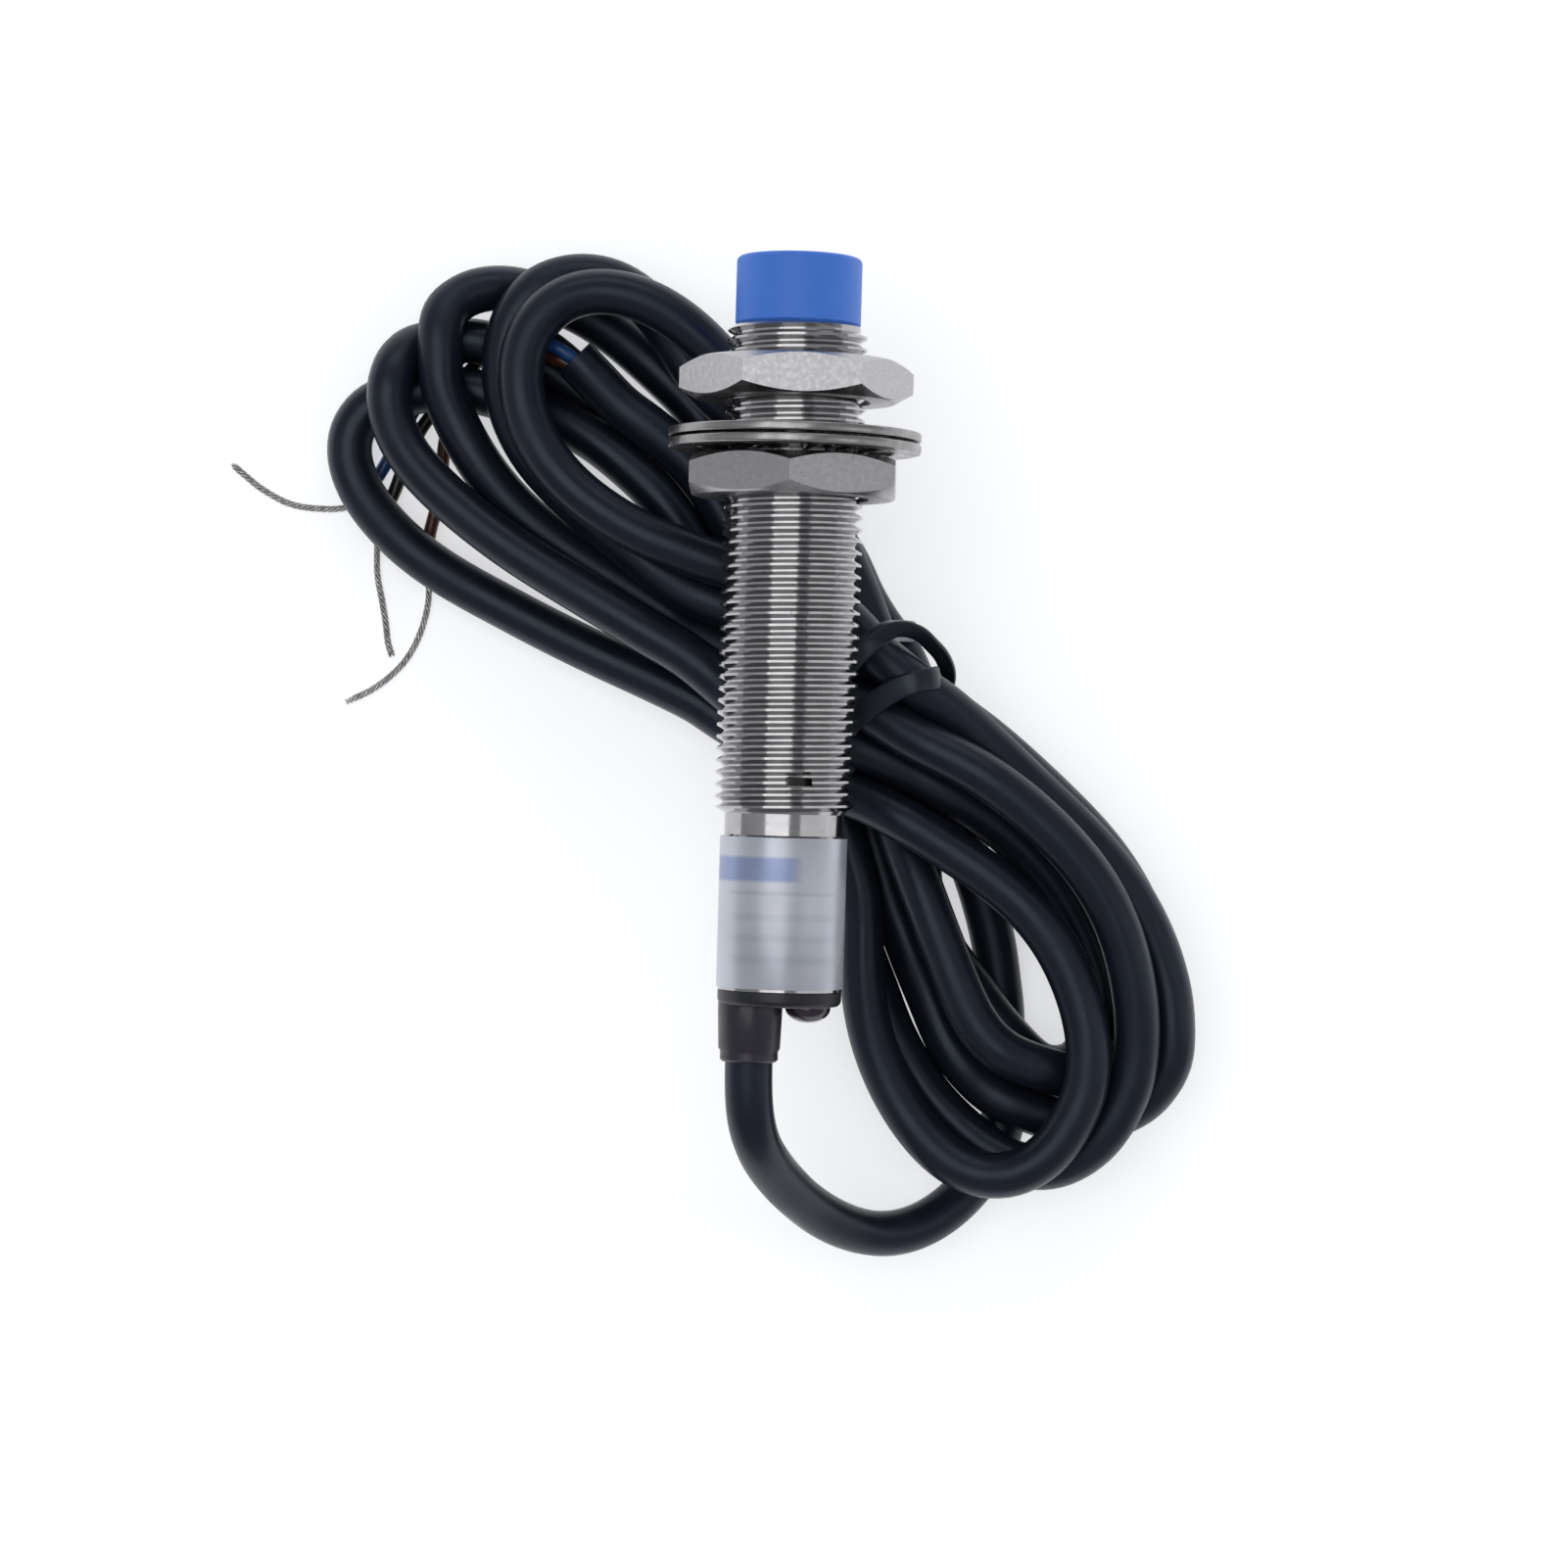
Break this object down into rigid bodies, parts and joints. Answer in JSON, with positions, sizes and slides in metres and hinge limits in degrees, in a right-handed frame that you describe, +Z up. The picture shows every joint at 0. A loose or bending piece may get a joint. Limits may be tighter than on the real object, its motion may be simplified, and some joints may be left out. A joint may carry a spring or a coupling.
{
  "type": "proximity sensor",
  "caption": "Cylindrical threaded proximity sensor with a plastic sensing cap, lock nuts, tooth washers, an indicator lens and a coiled cable with bare conductor ends.",
  "frame": {"origin": "centre of the sensing face, on the sensor's axis", "axes": "+Y out of the sensing face along the sensor's axis, +Z up from the table that the cable lies on, +X to the right; the table is 24 mm below the axis"},
  "size_m": [0.0868, 0.086, 0.0346],
  "materials": {
    "blue_cap": "fine matte moulded surface",
    "ferrite": "dull dark grey sintered ferrite",
    "bobbin_plastic": "natural moulded plastic",
    "copper_wire": "enamelled copper wire",
    "board_laminate": "green solder mask on glass laminate",
    "chip_black": "matte black moulding compound",
    "chip_ceramic": "sintered ceramic",
    "lamp_chip": "clear amber resin",
    "solder": "bright solder",
    "conductor_insulation": "PVC insulation",
    "film_sleeve": "amber insulating film",
    "potting_resin": "cast resin",
    "nickel_plate": "bright nickel plate on brass",
    "nickel_plate_nut": "bright nickel plate on brass",
    "washer_steel": "nickel plated spring steel",
    "label_foil": "satin foil with a pale blue print and no lettering",
    "black_plastic": "moulded black",
    "lens_plastic": "dark red translucent",
    "relief_rubber": "soft dark plum black",
    "cable_jacket": "soft black PVC with a satin sheen",
    "tie_plastic": "black PVC covered tie",
    "insulation_brown": "brown PVC",
    "insulation_blue": "blue PVC",
    "insulation_black": "black PVC",
    "tinned_copper": "dull tinned copper strands"
  },
  "bodies": {
    "sensor": {"sensing_cap": "blue_cap", "ferrite_core": "ferrite", "coil_bobbin": "bobbin_plastic", "sensing_coil": "copper_wire", "coil_leads": "copper_wire", "circuit_board": "board_laminate", "oscillator_ic": "chip_black", "output_transistor": "chip_black", "protection_diode": "chip_black", "chip_components": "chip_ceramic", "indicator_led": "lamp_chip", "solder_joints": "solder", "inner_conductors": "conductor_insulation", "shield_sleeve": "film_sleeve", "potting_plug": "potting_resin", "threaded_barrel": "nickel_plate", "rating_label": "label_foil", "end_cap": "black_plastic", "led_lens": "lens_plastic", "strain_relief": "relief_rubber", "cable_root": "cable_jacket", "cable_lead": "cable_jacket", "cable_hank_left": "cable_jacket", "cable_hank_waist": "cable_jacket", "cable_hank_right": "cable_jacket", "cable_tie": "tie_plastic", "wire_brown": "insulation_brown", "wire_blue": "insulation_blue", "wire_black": "insulation_black", "bare_wire_ends": "tinned_copper"},
    "front_washer": {"front_lock_washer": "washer_steel"},
    "front_nut": {"front_nut": "nickel_plate_nut"},
    "rear_washer": {"rear_lock_washer": "washer_steel"},
    "rear_nut": {"rear_nut": "nickel_plate_nut"}
  },
  "joints": [
    {"name": "front_washer_travel", "type": "slide", "parent": "sensor", "child": "front_washer", "axis": [0, 1, 0], "range_m": [0, 0.006]},
    {"name": "front_nut_turn", "type": "hinge", "parent": "front_washer", "child": "front_nut", "pos_m": [0, -0.0105, 0], "axis": [0, 1, 0], "range_deg": [0, 2160]},
    {"name": "rear_washer_travel", "type": "slide", "parent": "sensor", "child": "rear_washer", "axis": [0, 1, 0], "range_m": [-0.026, 0]},
    {"name": "rear_nut_turn", "type": "hinge", "parent": "rear_washer", "child": "rear_nut", "pos_m": [0, -0.0186, 0], "axis": [0, 1, 0], "range_deg": [-9360, 0]}
  ],
  "couplings": [
    {"joint": "front_washer_travel", "follows": "front_nut_turn", "m_per_rad": 0.00015915},
    {"joint": "rear_washer_travel", "follows": "rear_nut_turn", "m_per_rad": 0.00015915}
  ]
}
